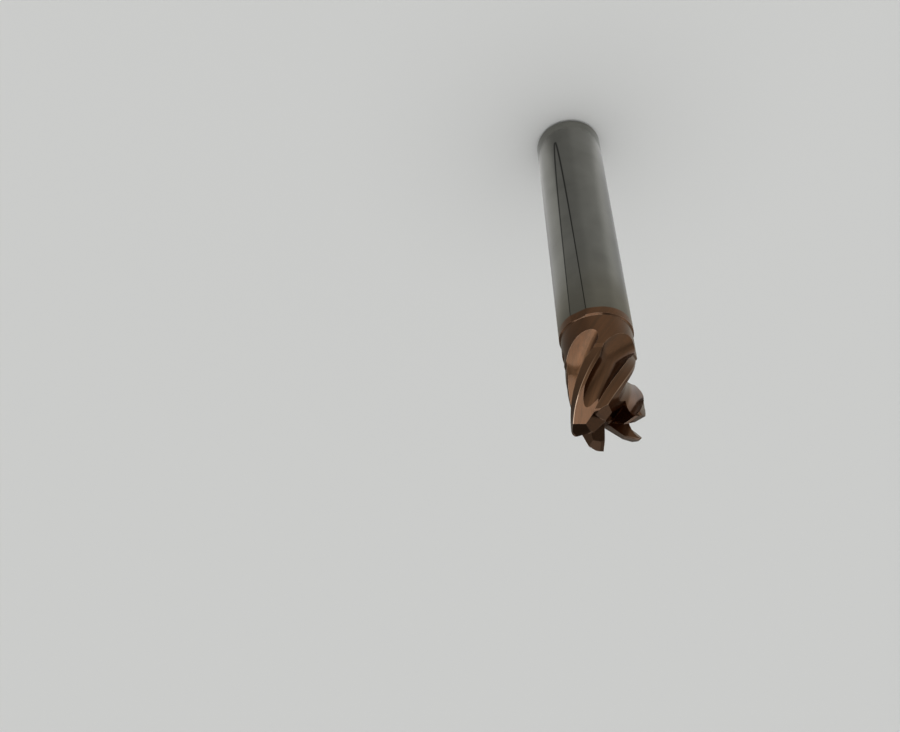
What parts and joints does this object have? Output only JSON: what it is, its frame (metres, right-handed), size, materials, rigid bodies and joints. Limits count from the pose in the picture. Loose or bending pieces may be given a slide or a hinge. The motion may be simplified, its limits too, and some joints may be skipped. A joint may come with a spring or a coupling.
{
  "type": "end mill",
  "caption": "Solid carbide end mill with a plain ground shank, a coated cutting head of helical flutes, gashed end teeth and rounded corners.",
  "frame": {"origin": "centre of the flat shank end, on the tool's axis", "axes": "+Z along the tool's axis from the shank end to the cutting end; +X points at the corner of the first tooth"},
  "size_m": [0.0126, 0.0126, 0.073],
  "materials": {
    "carbide": "polished ground carbide on the shank, thin bronze-brown hard coating on the cutting head"
  },
  "bodies": {
    "root": {"end_mill": "carbide"}
  },
  "joints": []
}
